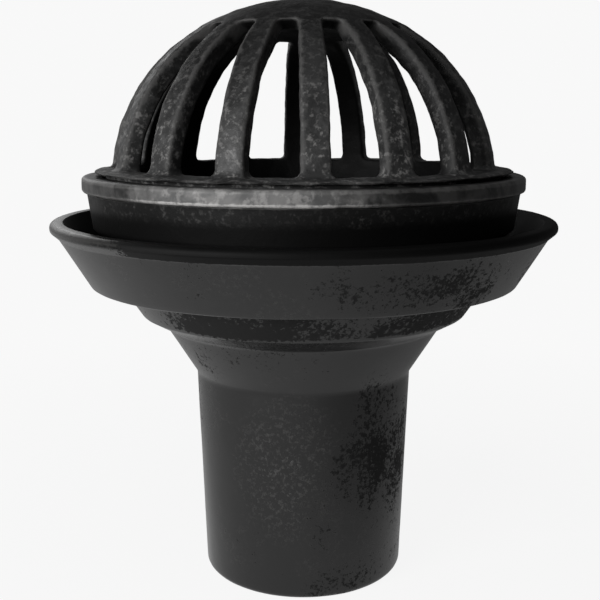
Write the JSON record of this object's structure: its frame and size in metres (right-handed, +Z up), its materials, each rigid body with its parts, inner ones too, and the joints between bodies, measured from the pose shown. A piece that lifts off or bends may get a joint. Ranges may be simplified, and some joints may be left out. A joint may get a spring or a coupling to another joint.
{
  "type": "flat roof drain",
  "caption": "Cast-iron flat roof drain: flared flashing bowl with a plain bottom outlet, a bolted clamp ring with a gravel stop, and a slotted dome strainer.",
  "frame": {"origin": "middle of the outlet's end face, the face that the drain stands on", "axes": "+Z up along the common axis of the body, ring and dome; -Y towards the viewer; one dome rib lies 3 degrees from -Y towards +X"},
  "size_m": [0.2842, 0.2842, 0.328],
  "materials": {
    "body_iron": "black-coated sand casting, satin",
    "ring_iron": "black-coated sand casting, satin, lightly speckled",
    "dome_iron": "black-coated sand casting, satin, speckled low on the ribs",
    "bolt_steel": "dull zinc-plated steel",
    "washer_steel": "dull zinc-plated steel"
  },
  "bodies": {
    "root": {"drain_body": "body_iron", "clamp_ring": "ring_iron", "strainer_dome": "dome_iron", "clamp_bolt_1": "bolt_steel", "clamp_bolt_2": "bolt_steel", "clamp_bolt_3": "bolt_steel", "clamp_bolt_4": "bolt_steel", "washer_1": "washer_steel", "washer_2": "washer_steel", "washer_3": "washer_steel", "washer_4": "washer_steel"}
  },
  "joints": []
}
